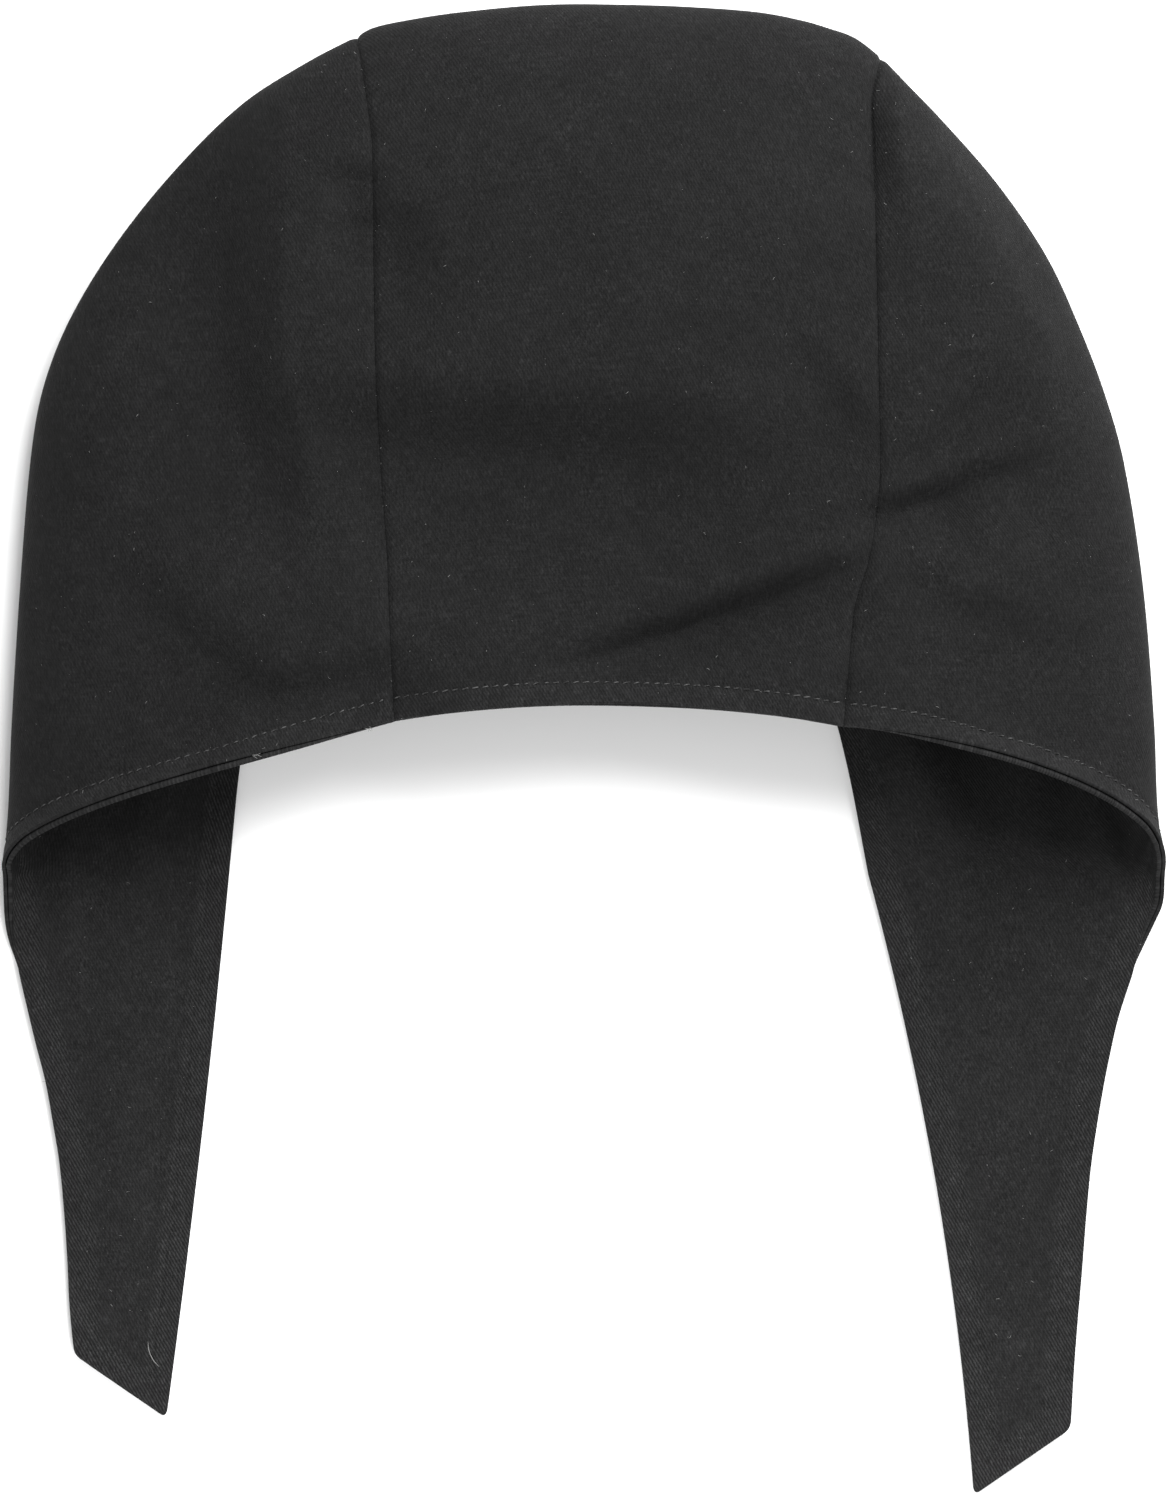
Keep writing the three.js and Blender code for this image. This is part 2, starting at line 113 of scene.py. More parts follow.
# Creases of the upper side. x and y are the middle of each steep wall on the table, "turn" its heading in
# degrees, "long" its half length and "wide" its width. The cloth falls by "deep" to the right of that
# heading, and rises again more gently. "crest" is 1 where the wall is steepest at its top and -1 at its foot.
CREASES = [
    # Above the nape hem, and past the right seam.
    {"x": 34, "y": 39, "turn": 18.8, "long": 40, "wide": 8.5, "deep": 9, "crest": 0},
    {"x": 87, "y": 68, "turn": 15, "long": 13, "wide": 7.5, "deep": 6, "crest": 0},
    {"x": 107, "y": 75.5, "turn": 15, "long": 17, "wide": 8, "deep": 4.2, "crest": 0},
    # By the right seam's top.
    {"x": 81.8, "y": 164, "turn": -87, "long": 19, "wide": 8, "deep": 6, "crest": -0.4},
    # The left hollow, down its length and round its foot.
    {"x": -92, "y": 140, "turn": -90, "long": 41, "wide": 22, "deep": 16, "crest": 0.4},
    {"x": -82, "y": 78, "turn": -73.5, "long": 28, "wide": 18, "deep": 8, "crest": 0.4},
    {"x": -98, "y": 30, "turn": -38, "long": 26, "wide": 14, "deep": 5.2, "crest": 0},
    {"x": -68, "y": 22, "turn": 14, "long": 20, "wide": 10, "deep": 5.4, "crest": 0},
    # Across the strip, and two dents by the left seam.
    {"x": -16, "y": 88, "turn": -4, "long": 58, "wide": 23, "deep": 12.5, "crest": 0},
    {"x": -62, "y": 155, "turn": 0, "long": 8, "wide": 6, "deep": 3, "crest": 0},
    {"x": -56, "y": 143, "turn": 6, "long": 14, "wide": 9, "deep": 3.6, "crest": 0},
    # Rays from the right seam, and puckers at its foot.
    {"x": 95, "y": 87, "turn": 48.5, "long": 20, "wide": 9, "deep": 3.4, "crest": 0},
    {"x": 67, "y": 98, "turn": -57, "long": 18, "wide": 10, "deep": 2.4, "crest": 0},
    {"x": 111, "y": 37, "turn": -27, "long": 24, "wide": 13, "deep": 3.2, "crest": 0},
    {"x": 62, "y": 13, "turn": 62, "long": 7, "wide": 4, "deep": 0.7, "crest": 0},
    {"x": 68, "y": 15, "turn": 70, "long": 8, "wide": 4, "deep": 0.7, "crest": 0},
    # The right flank's swell, which rises instead.
    {"x": 114, "y": 135, "turn": -63, "long": 34, "wide": 8, "deep": -5, "crest": -0.3},
]
RISE_BACK = 2.2  # how many widths of its wall a crease takes to rise again
WAVES = [{"length": 40, "height": 1.0}, {"length": 15, "height": 0.28}]  # slight unevenness of the cloth

ROWS = 150
BROW_ROWS = 118  # the rows that end at the seam on the under side
STRIP_COLUMNS = 96
EVEN_COLUMNS = 0.6  # the columns crowd a little towards the seams, and lie evenly where this is 1


def lerp(a, b, share):
    return a + (b - a) * share


def crowded(steps, start, end):
    """Shares from 0 to 1, closer together near 0 where start is above 1, and near 1 where end is."""
    return 1 - (1 - (np.arange(steps + 1) / steps) ** start) ** end


def through(table, column, at, key="down"):
    """A column of a table, read as a smooth curve."""
    places, values = np.array(table[key], float), np.array(table[column], float)
    count = len(places)
    after = np.minimum(np.arange(count) + 1, count - 1)
    before = np.maximum(np.arange(count) - 1, 0)
    slopes = (values[after] - values[before]) / (places[after] - places[before])
    i = np.clip(np.searchsorted(places, at, side="right") - 1, 0, count - 2)
    span = places[i + 1] - places[i]
    t = np.clip((at - places[i]) / span, 0, 1)
    return ((2 * t**3 - 3 * t**2 + 1) * values[i] + (t**3 - 2 * t**2 + t) * span * slopes[i]
            + (3 * t**2 - 2 * t**3) * values[i + 1] + (t**3 - t**2) * span * slopes[i + 1])


def quarter_round(share):
    return np.sqrt(1 - (1 - np.clip(share, 0, 1)) ** 2)


def place(x, down, z):
    """Points on the cloth, in millimetres from the table's origin."""
    x, down, z = np.broadcast_arrays(x, down, z)
    return np.stack([x, ORIGIN_DOWN - down, z], axis=-1).astype(float)


def from_line(points, line):
    """How far points lie along a line and to its right, in half lengths and widths of it."""
    turn = math.radians(line["turn"])
    dx, dy = points[:, 0] - line["x"], points[:, 1] - line["y"]
    along = (dx * math.cos(turn) + dy * math.sin(turn)) / line["long"]
    beside = (dx * math.sin(turn) - dy * math.cos(turn)) / line["wide"]
    return along, beside


def unevenness(points, waves):
    return sum(wave["height"] * np.array([noise.noise(Vector(p) / wave["length"]) for p in points])
               for wave in waves)


def creased(points, share):
    """Sinks points of the upper side into its creases, by a share from 0 at the folded edges to 1."""
    sink = unevenness(points, WAVES)
    for crease in CREASES:
        along, beside = from_line(points, crease)
        beside += 0.5
        down_wall = np.clip(beside, 0, 1)
        even = down_wall**2 * (3 - 2 * down_wall)
        steep = down_wall * (2 - down_wall) if crease["crest"] > 0 else down_wall**2
        fall = lerp(even, steep, abs(crease["crest"]))
        fall *= np.exp(-((np.maximum(beside, 1) - 1) / RISE_BACK) ** 2)
        sink += crease["deep"] * fall * np.exp(-np.abs(along) ** 3)
    points[:, 2] -= share * sink
    return points


def seam_top(side):
    return STRIP_SHIFT + side["sign"] * STRIP_TOP_WIDTH / 2


def upper_seam(name, share):
    """The seam's point on the upper side, and how much of its rise the cloth has made there."""
    side = SIDES[name]
    sway = through(SEAM_SWAY, name, share) * STRIP_TOP_WIDTH
    x = lerp(seam_top(side), STRIP_SHIFT + side["sign"] * STRIP_NAPE_WIDTH / 2, share) - side["sign"] * sway
    rise = quarter_round(share / RISE_SHARE)
    down = lerp(side["shoulder"], CROWN_DEPTH + side["nape_arch"], share)
    return place(x, down, lerp(FOLD_HEIGHT, LOFT, rise)), rise


def under_seam(name, share):
    side = SIDES[name]
    x = lerp(seam_top(side), BROW_SHIFT + side["sign"] * STRIP_BROW_WIDTH / 2, share)
    run = share * (BROW_DEPTH - side["shoulder"])
    z = lerp(FOLD_HEIGHT, UNDER_HEIGHT, quarter_round(run / FOLD_ROUND))
    return place(x, lerp(side["shoulder"], BROW_DEPTH, share), z)


row_shares = crowded(ROWS, 1.3, 1.25)


def strip_rows():
    """The strip as rows of points, from the brow over the top fold to the nape."""
    even = np.linspace(0, 1, STRIP_COLUMNS + 1)
    across = lerp((1 - np.cos(np.pi * even)) / 2, even, EVEN_COLUMNS)
    full = 4 * across * (1 - across)
    top_arch = (SIDES["left"]["shoulder"] + SIDES["right"]["shoulder"]) / 2
    nape_arch = (SIDES["left"]["nape_arch"] + SIDES["right"]["nape_arch"]) / 2
    rows = []
    for row in range(-BROW_ROWS, ROWS + 1):
        if row < 0:
            share, rise, hem_arch = row_shares[-row] / row_shares[BROW_ROWS], 0, 0
            ends = [under_seam(name, share) for name in SIDES]
        else:
            share, hem_arch = row_shares[row], nape_arch
            ends, rises = zip(*[upper_seam(name, share) for name in SIDES])
            rise = rises[0]
        points = ends[0] + (ends[1] - ends[0]) * across[:, None]
        points[:, 1] += lerp(top_arch * through(TOP_ARCH, "rise", across, "across"), hem_arch * full, share)
        points[:, 2] += rise * CROWN_BULGE * full
        rows.append(creased(points, rise) if row > 0 else points)
    return rows


class Sheet:
    """A sheet of cloth without thickness: its points, faces, outward directions, border and cloth
    coordinates. A row with fewer points meets the last columns of the row before it. Points of a row that
    fall together become one, and facing is 1 or -1 for the side that is outward."""

    def __init__(self, rows, cloth, facing):
        points, texture, number = [], [], {}
        self.rows = []
        for row, threads in zip(rows, cloth):
            indices = []
            for p, uv in zip(row, threads):
                key = tuple(np.round(p, 4))
                if key not in number:
                    number[key] = len(points)
                    points.append(p)
                    texture.append(uv)
                indices.append(number[key])
            self.rows.append(indices)
        self.points, self.cloth = np.array(points), np.array(texture)
        self.faces = []
        for here, there in zip(self.rows, self.rows[1:]):
            here = here[len(here) - len(there):]
            for a, b, c, d in zip(here, here[1:], there[1:], there):
                face = list(dict.fromkeys([a, b, c, d]))
                if len(face) > 2:
                    self.faces.append(face if facing > 0 else face[::-1])
        self.outward = self.face_directions()
        self.border = self.border_loop()

    def face_directions(self):
        total = np.zeros_like(self.points)
        for face in self.faces:
            a, b, c = self.points[face[0]], self.points[face[1]], self.points[face[2]]
            total[face] += np.cross(b - a, c - a)
            if len(face) == 4:
                d = self.points[face[3]]
                total[face] += np.cross(c - a, d - a)
        return total / np.linalg.norm(total, axis=1)[:, None]

    def border_loop(self):
        follows = {}
        for face in self.faces:
            for a, b in zip(face, face[1:] + face[:1]):
                follows[(a, b)] = True
        ahead = {a: b for a, b in follows if (b, a) not in follows}
        loop = [next(iter(ahead))]
        while ahead[loop[-1]] != loop[0]:
            loop.append(ahead[loop[-1]])
        return loop


def distance_to(points, line):
    """How far each point is from the nearest point of a line on the cloth."""
    longest_step = 0.5
    dense = []
    for a, b in zip(line, line[1:]):
        steps = max(1, math.ceil(np.linalg.norm(b - a) / longest_step))
        dense += [lerp(a, b, step / steps) for step in range(steps)]
    dense.append(line[-1])
    tree = KDTree(len(dense))
    for i, p in enumerate(dense):
        tree.insert(p, i)
    tree.balance()
    return np.array([tree.find(p)[2] for p in points])


def new_piece(name, vertices, faces):
    """An object with a mesh of its own, from points in millimetres."""
    mesh = bpy.data.meshes.new(name)
    mesh.from_pydata([tuple(Vector(v) * MM) for v in vertices], [], faces)
    piece = bpy.data.objects.new(name, mesh)
    bpy.context.collection.objects.link(piece)
    return piece


EDGE_ROUND = 0.45  # the rolled edge of a wall
RIM_STEPS = 5
SEAM_GAP = 0.15  # what each cut keeps clear of the middle of a seam
MOST_INSET = 0.45  # an edge is drawn in by no more than this share of the way to the next points
CORNER_ROOM = 0.2  # that way at a corner, where all points are on the border
HEM_RAISE = 2.2  # how soon a hem gets its full overhang as its cloth tilts out of the level


def rolled_border(sheet, seam_ends, overhang):
    """A sheet's points with its border drawn in, and how far out each border point's round edge reaches."""
    points, rolls = sheet.points.copy(), {}
    border = sheet.border
    touching = {i: set() for i in border}
    for face in sheet.faces:
        for i in face:
            if i in touching:
                touching[i].update(face)
    for before, here, after in zip(border[-1:] + border[:-1], border, border[1:] + border[:1]):
        edge = np.cross(sheet.points[after] - sheet.points[before], sheet.outward[here])
        edge /= np.linalg.norm(edge)
        inner = [sheet.points[j] for j in touching[here] if j not in touching]
        room = min((np.dot(sheet.points[here] - p, edge) for p in inner), default=CORNER_ROOM)
        inset = min(EDGE_ROUND + (SEAM_GAP if here in seam_ends else 0), MOST_INSET * max(room, 0))
        upward = sheet.outward[here][2]
        raised = min(HEM_RAISE * (1 - upward), 1) if upward > 0 and here not in seam_ends else 0
        points[here] += edge * (overhang * raised - inset)
        rolls[here] = edge * min(EDGE_ROUND, inset)
    return points, rolls


def wall(name, sheet, faces, relief, seam_ends, overhang=0.0):
    """A closed wall of cloth between two distances outward from a sheet, with half-round edges. relief is
    how far its visible face stands off, point by point, and overhang how far a raised hem reaches out."""
    near, far = faces
    border = sheet.border
    points, rolls = rolled_border(sheet, seam_ends, overhang)
    outside_shows = far > -near
    outer = points + sheet.outward * (far + relief * outside_shows)[:, None]
    inner = points + sheet.outward * (near - relief * (not outside_shows))[:, None]
    count = len(points)
    vertices = [*outer, *inner]
    cloth = [*sheet.cloth, *sheet.cloth]
    solid_faces = [*sheet.faces, *[[i + count for i in reversed(face)] for face in sheet.faces]]
    rings = [border]
    for step in range(1, RIM_STEPS):
        turn = math.pi * step / RIM_STEPS
        rings.append(range(len(vertices), len(vertices) + len(border)))
        for i in border:
            middle, half = (outer[i] + inner[i]) / 2, (outer[i] - inner[i]) / 2
            vertices.append(middle + half * math.cos(turn) + rolls[i] * math.sin(turn))
            cloth.append(sheet.cloth[i])
    rings.append([i + count for i in border])
    for here, there in zip(rings, rings[1:]):
        for k in range(len(border)):
            after = (k + 1) % len(border)
            solid_faces.append([here[after], here[k], there[k], there[after]])
    piece = new_piece(name, vertices, solid_faces)
    piece.data.shade_smooth()
    threads = piece.data.uv_layers.new(name="cloth")
    corner_vertex = np.zeros(len(piece.data.loops), int)
    piece.data.loops.foreach_get("vertex_index", corner_vertex)
    threads.data.foreach_set("uv", np.array(cloth)[corner_vertex].ravel())
    return piece


def keep_hem_distance(piece, hem):
    """Keeps each vertex's distance from a hem, in millimetres, for the cloth's material to read."""
    places = np.zeros(len(piece.data.vertices) * 3)
    piece.data.vertices.foreach_get("co", places)
    found = distance_to(places.reshape(-1, 3) / MM, hem)
    piece.data.attributes.new("hem_distance", "FLOAT", "POINT").data.foreach_set("value", found)


def new_material(name, roughness, specular=0.5, colour=None):
    material = bpy.data.materials.new(name)
    material.use_nodes = True
    surface = material.node_tree.nodes["Principled BSDF"]
    surface.inputs["Roughness"].default_value = roughness
    surface.inputs["Specular IOR Level"].default_value = specular
    if colour:
        surface.inputs["Base Color"].default_value = (*colour, 1)
    return material


TWILL_PITCH = 0.08  # centimetres from one diagonal to the next
WAVE_LENGTH = 0.314  # the wave texture's own length at a scale of 1


class Weave:
    """The shader nodes of a cloth, by what they work out. Each method returns its result's socket. Places on
    the cloth are in centimetres."""

    def __init__(self, material):
        self.nodes, self.links = material.node_tree.nodes, material.node_tree.links
        threads = self.nodes.new("ShaderNodeUVMap")
        threads.uv_map = "cloth"
        self.threads = threads.outputs["UV"]

    def mapped(self, scale, turn=0.0):
        mapping = self.nodes.new("ShaderNodeMapping")
        mapping.inputs["Scale"].default_value = (*scale, 1)
        mapping.inputs["Rotation"].default_value = (0, 0, math.radians(turn))
        self.links.new(self.threads, mapping.inputs["Vector"])
        return mapping.outputs["Vector"]

    def mottle(self, scale, detail, roughness=0.5):
        texture = self.nodes.new("ShaderNodeTexNoise")
        texture.inputs["Scale"].default_value = 1
        texture.inputs["Detail"].default_value = detail
        texture.inputs["Roughness"].default_value = roughness
        self.links.new(self.mapped(scale), texture.inputs["Vector"])
        return texture.outputs["Fac"]

    def diagonals(self, turn):
        texture = self.nodes.new("ShaderNodeTexWave")
        texture.bands_direction = "X"
        texture.inputs["Scale"].default_value = WAVE_LENGTH / TWILL_PITCH
        texture.inputs["Distortion"].default_value = 1.4
        texture.inputs["Detail"].default_value = 1
        texture.inputs["Detail Scale"].default_value = 3
        self.links.new(self.mapped((1, 1), turn), texture.inputs["Vector"])
        return texture.outputs["Fac"]

    def from_hem(self):
        """The distance from the hem in millimetres."""
        attribute = self.nodes.new("ShaderNodeAttribute")
        attribute.attribute_name = "hem_distance"
        return attribute.outputs["Fac"]

    def up_table(self):
        """The place along the table in metres, towards the crown."""
        places = self.nodes.new("ShaderNodeTexCoord")
        split = self.nodes.new("ShaderNodeSeparateXYZ")
        self.links.new(places.outputs["Object"], split.inputs[0])
        return split.outputs["Y"]

    def combined(self, operation, values):
        total, *others = values
        for value in others:
            node = self.nodes.new("ShaderNodeMath")
            node.operation = operation
            for socket, term in zip(node.inputs, (total, value)):
                if isinstance(term, (int, float)):
                    socket.default_value = term
                else:
                    self.links.new(term, socket)
            total = node.outputs[0]
        return total

    def plus(self, *values):
        return self.combined("ADD", values)

    def times(self, *values):
        return self.combined("MULTIPLY", values)

    def ramp(self, value, low, high, to_low, to_high):
        """A value from low to high, turned into one from to_low to to_high and held there beyond them."""
        node = self.nodes.new("ShaderNodeMapRange")
        for socket, number in zip(list(node.inputs)[1:5], (low, high, to_low, to_high)):
            socket.default_value = number
        self.links.new(value, node.inputs[0])
        return node.outputs[0]


def black_linen(name, tone, twill_turn, twill_share, hem_band, hem_tone):
    """Black linen twill: fine steep diagonals, slubs along both threads and a dusty, patchy bloom. It is
    lighter and its diagonals are crisper in a band as wide as hem_band beside the hem."""
    material = new_material(name, roughness=0.85, specular=0.12)
    surface = material.node_tree.nodes["Principled BSDF"]
    weave = Weave(material)
    plus, times, ramp = weave.plus, weave.times, weave.ramp
    diagonal = weave.diagonals(twill_turn)
    slub_down = weave.mottle((22, 3.2), 2)
    slub_across = weave.mottle((2.6, 20), 2)
    grain = weave.mottle((13, 9), 3, 0.65)
    patches = weave.mottle((0.35, 0.3), 3)
    fade = weave.mottle((1.6, 1.4), 4)
    dust = weave.mottle((6, 4.5), 4, 0.7)
    rubbed = ramp(weave.mottle((0.9, 0.7), 3, 0.6), 0.35, 0.65, 0.25, 1.0)  # where the weave shows more
    from_hem = weave.from_hem()
    band_starts, band_ends = hem_band - 1, hem_band + 1

    relief = plus(times(diagonal, 0.45), times(slub_down, 0.5), times(slub_across, 0.45), times(grain, 0.5))
    bump = weave.nodes.new("ShaderNodeBump")
    bump.inputs["Strength"].default_value = 1.0
    bump.inputs["Distance"].default_value = 0.13 * MM
    weave.links.new(relief, bump.inputs["Height"])
    weave.links.new(bump.outputs["Normal"], surface.inputs["Normal"])

    crisp = times(ramp(from_hem, band_starts, band_ends, 2.3 * twill_share, twill_share),
                  ramp(from_hem, 0.3, 1.6, 0.1, 1.0))
    tones = times(
        ramp(patches, 0.3, 0.7, 0.9, 1.1),
        ramp(fade, 0.3, 0.7, 0.85, 1.15),
        ramp(dust, 0.5, 0.75, 0.95, 1.5),
        plus(times(ramp(grain, 0.35, 0.66, -0.42, 0.5), rubbed), 1.0),
        plus(times(ramp(diagonal, 0, 1, -0.22, 0.22), crisp), 1.0),
        ramp(slub_down, 0.3, 0.7, 0.68, 1.34),
        ramp(slub_across, 0.3, 0.7, 0.84, 1.16),
        ramp(from_hem, band_starts, band_ends, hem_tone, 1.0),
        ramp(from_hem, 0.3, 1.6, 1.35, 1.0),  # rubbed pale along the very edge
        ramp(weave.up_table(), -0.2, -0.04, 1.28, 1.0),  # painted light: lighter towards the tips of the ties
    )
    colour = weave.nodes.new("ShaderNodeCombineColor")
    for channel, share in zip(colour.inputs, tone):
        weave.links.new(times(tones, share), channel)
    weave.links.new(colour.outputs["Color"], surface.inputs["Base Color"])
    return material


STITCH_INSET = 6.0  # the topstitching's distance from the edge
SEAM_GROOVE = {"at": 0.0, "high": -0.5, "wide": 0.9}
STITCH_GROOVE = {"at": STITCH_INSET, "high": -0.32, "wide": 0.8}
HEM_SWELL = {"at": 3.0, "high": 0.12, "wide": 1.8}


def bell(distance, at, high, wide):
    """A soft ridge, or a groove where high is below 0, at a distance from a line."""
    return high * np.exp(-((distance - at) / wide) ** 2)


def shell_relief(sheet, seams, hem):
    """The visible face sinks into its seams and along the topstitching, and fills out over the hem."""
    relief = sum(bell(distance_to(sheet.points, seam), **SEAM_GROOVE) for seam in seams)
    from_hem = distance_to(sheet.points, hem)
    return relief + bell(from_hem, **STITCH_GROOVE) + bell(from_hem, **HEM_SWELL) * (sheet.outward[:, 2] > 0)


strip_points = strip_rows()
middle_points = np.array([row[STRIP_COLUMNS // 2] for row in strip_points])
down_strip = [0, *np.cumsum(np.linalg.norm(np.diff(middle_points, axis=0), axis=1))]
strip_cloth = [np.stack([row[:, 0] / 10, np.full(len(row), -down / 10)], axis=-1)
               for row, down in zip(strip_points, down_strip)]
strip_sheet = Sheet(strip_points, strip_cloth, -1)
strip_seams = [[strip_sheet.points[row[end]] for row in strip_sheet.rows] for end in (0, -1)]
nape_hem = [strip_sheet.points[i] for i in strip_sheet.rows[-1]]
brow_hem = [strip_sheet.points[i] for i in strip_sheet.rows[0]]
strip_seam_ends = {row[end] for row in strip_sheet.rows for end in (0, -1)}
strip_relief = shell_relief(strip_sheet, strip_seams, nape_hem)
strip_relief += bell(distance_to(strip_sheet.points, brow_hem), **STITCH_GROOVE)

SHELL_TONE = (0.0068, 0.0068, 0.0069)
shell_linen = black_linen("shell linen", SHELL_TONE, twill_turn=-30, twill_share=0.5, hem_band=6,
                          hem_tone=1.2)

crown = wall("crown_strip", strip_sheet, SHELL_WALL, strip_relief, strip_seam_ends)
keep_hem_distance(crown, nape_hem)
crown.data.materials.append(shell_linen)
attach(crown, "root")
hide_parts("crown_shell")


# Side cuts, outer cloth
# A D-shaped cut of the same linen on each side, which runs out at its lower corner into a tie with a slanted
# end, all in one. It is seamed to the strip round its curve, folds over at its outer edge as it lies, and
# its free edges are turned in and topstitched with the lining's.
SIDE_DEPTH = 233.8
TIE_LANDING = 28.0  # the run over which a tie's outer edge comes down to the table

# The folded edge, from the top of the seam to the corner, as a share of the way out to that corner.
FOLDED_EDGE = {
    "down": [0, 0.03, 0.08, 0.16, 0.25, 0.34, 0.42, 0.5, 0.65, 0.82, 0.93, 1],
    "left": [0, 0.135, 0.32, 0.513, 0.683, 0.812, 0.885, 0.919, 0.949, 0.974, 0.985, 1],
    "right": [0, 0.08, 0.216, 0.413, 0.586, 0.704, 0.79, 0.854, 0.921, 0.961, 0.974, 1],
}

# The face edge, from the brow end of the seam round to the tie's root.
FACE_EDGE = {
    "at": [0, 0.25, 0.5, 0.75, 1],
    "left across": [0, 0.4, 0.7, 0.86, 1],
    "left down": [0, 0.045, 0.22, 0.53, 1],
    "right across": [0, 0.33, 0.59, 0.79, 1],
    "right down": [0, 0.06, 0.21, 0.52, 1],
}

# The tie's outer edge, as a share of the tie's inset.
TIE_EDGE = {
    "along": [0, 0.05, 0.085, 0.12, 0.18, 0.26, 0.35, 0.43, 0.52, 0.6, 0.7, 0.8, 0.9, 1],
    "left": [0, 0, 0.005, 0.03, 0.12, 0.255, 0.41, 0.56, 0.68, 0.775, 0.845, 0.895, 0.93, 1],
    "right": [0, 0.012, 0.1, 0.19, 0.305, 0.465, 0.59, 0.68, 0.765, 0.815, 0.865, 0.918, 0.965, 1],
}

# Ripples that lift the ties off the table a little, placed as the creases are, with "high" for their height.
RIPPLES = [
    {"x": 90, "y": 0, "turn": 100, "long": 26, "wide": 12, "high": 7.0},
    {"x": 124, "y": -30, "turn": 92, "long": 30, "wide": 6, "high": 1.8},
    {"x": 143, "y": -34, "turn": 100, "long": 22, "wide": 5, "high": 1.2},
    {"x": 112, "y": -90, "turn": 96, "long": 50, "wide": 8, "high": 0.8},
    {"x": -120, "y": -26, "turn": 80, "long": 26, "wide": 7, "high": 1.4},
    {"x": -140, "y": -30, "turn": 96, "long": 24, "wide": 5, "high": 1.2},
    {"x": -124, "y": -105, "turn": 86, "long": 40, "wide": 7, "high": 0.7},
]
UNDER_WAVES = [{"length": 26, "height": 0.45}, {"length": 9, "height": 0.18}]
HIGHEST_WAVE = 0.45
RIPPLE_START = 8.0  # the ripples reach their height this far in from the folded edge
TIE_CORNER_ROUND = 2.0
HEM_FLARE = 5.5  # how far the nape hem stands up at the side cuts
FLARE_REACH = 4.6  # how far up from the hem
FLARE_LEAN = 0.4  # its lean outward, as a share of its height
FLARE_FADES = (0.28, 0.25)  # the shares of the hem over which it fades, by the seam and by the fold
UPPER_COLUMNS = 84
ROUND_COLUMNS = 14
UNDER_COLUMNS = 54
TIE_ROWS = 104


def rippled(points, from_edge):
    """Lifts points of the under side on its ripples and slight waves, less near the folded edge."""
    lift = np.clip(unevenness(points, UNDER_WAVES), 0, HIGHEST_WAVE)
    for ripple in RIPPLES:
        along, beside = from_line(points, ripple)
        lift += ripple["high"] * np.exp(-along**2 - beside**2)
    points[:, 2] += lift * np.clip(from_edge / RIPPLE_START, 0, 1)
    return points


def under_part(outer, inner):
    """The under side of a row, from its outer edge round onto the table and in to its inner edge."""
    width = abs(outer[0] - inner[0])
    turn = np.linspace(0, np.pi / 2, ROUND_COLUMNS + 1)[:-1]
    round_run = min(FOLD_ROUND, width)
    run = np.concatenate([round_run * (1 - np.cos(turn)),
                          lerp(round_run, width, crowded(UNDER_COLUMNS, 1, 1.2))])
    sine = np.concatenate([np.sin(turn), np.ones(UNDER_COLUMNS + 1)])
    points = outer + (inner - outer) * (run / max(width, 1e-6))[:, None]
    points[:, 2] = lerp(outer[2], inner[2], sine)
    return rippled(points, run) if width > 1 else points


def tie_root_x(side):
    return side["sign"] * (side["half_width"] - side["tie_root"])


def inner_end(name, row):
    """Where a row ends on the under side: on the seam, and below the brow on the face edge."""
    if row <= BROW_ROWS:
        return under_seam(name, row_shares[row] / row_shares[BROW_ROWS])
    at = (row - BROW_ROWS) / (ROWS - BROW_ROWS)
    brow = under_seam(name, 1.0)
    across = through(FACE_EDGE, f"{name} across", at, "at")
    down = through(FACE_EDGE, f"{name} down", at, "at")
    return place(lerp(brow[0], tie_root_x(SIDES[name]), across), lerp(BROW_DEPTH, SIDE_DEPTH, down),
                 UNDER_HEIGHT)


def cut_row(name, row):
    """A row of a side cut, from the seam over the folded edge and back underneath."""
    side, share = SIDES[name], row_shares[row]
    seam, rise = upper_seam(name, share)
    out = through(FOLDED_EDGE, name, share)
    edge = place(lerp(seam_top(side), side["sign"] * side["half_width"], out),
                 lerp(side["shoulder"], SIDE_DEPTH, share), FOLD_HEIGHT)
    t = crowded(UPPER_COLUMNS, 1.15, 1)[:-1]
    angle = t * np.pi / 2
    upper = np.stack([
        lerp(seam[0], edge[0], np.sin(angle)),
        lerp(seam[1], edge[1], t ** side["hem_ease"]),
        lerp(edge[2], seam[2], np.cos(angle)),
    ], axis=-1)
    if row > 0:
        creased(upper, rise * np.cos(angle))
    by_seam, by_fold = FLARE_FADES
    flare = HEM_FLARE * math.exp(-(1 - share) * SIDE_DEPTH / FLARE_REACH)
    flare = flare * np.clip(t / by_seam, 0, 1) ** 1.5 * np.clip((1 - t) / by_fold, 0, 1)
    upper[:, 0] += flare * FLARE_LEAN * side["sign"] * np.sin(angle)
    upper[:, 2] += flare * np.cos(angle)
    return np.concatenate([upper, under_part(edge, inner_end(name, row))])


def tie_row(name, along):
    """A row of a tie, from its outer edge to its inner one, at a share of the tie's length."""
    side = SIDES[name]
    sign = side["sign"]
    run = along * (side["tie_length"] - side["tie_slant"])
    lift = max(0, 1 - run / TIE_LANDING) ** 2
    inset = through(TIE_EDGE, name, along, "along") * side["tie_inset"]
    outer = place(sign * (side["half_width"] - inset), SIDE_DEPTH + run,
                  lerp(UNDER_HEIGHT, FOLD_HEIGHT, lift))
    end_x = sign * (side["half_width"] - side["tie_inset"] - side["tie_end"])
    bow = side["tie_bow"] * 4 * along * (1 - along)
    inner = place(lerp(tie_root_x(side), end_x, along) - sign * bow, SIDE_DEPTH + along * side["tie_length"],
                  UNDER_HEIGHT)
    return under_part(outer, inner)


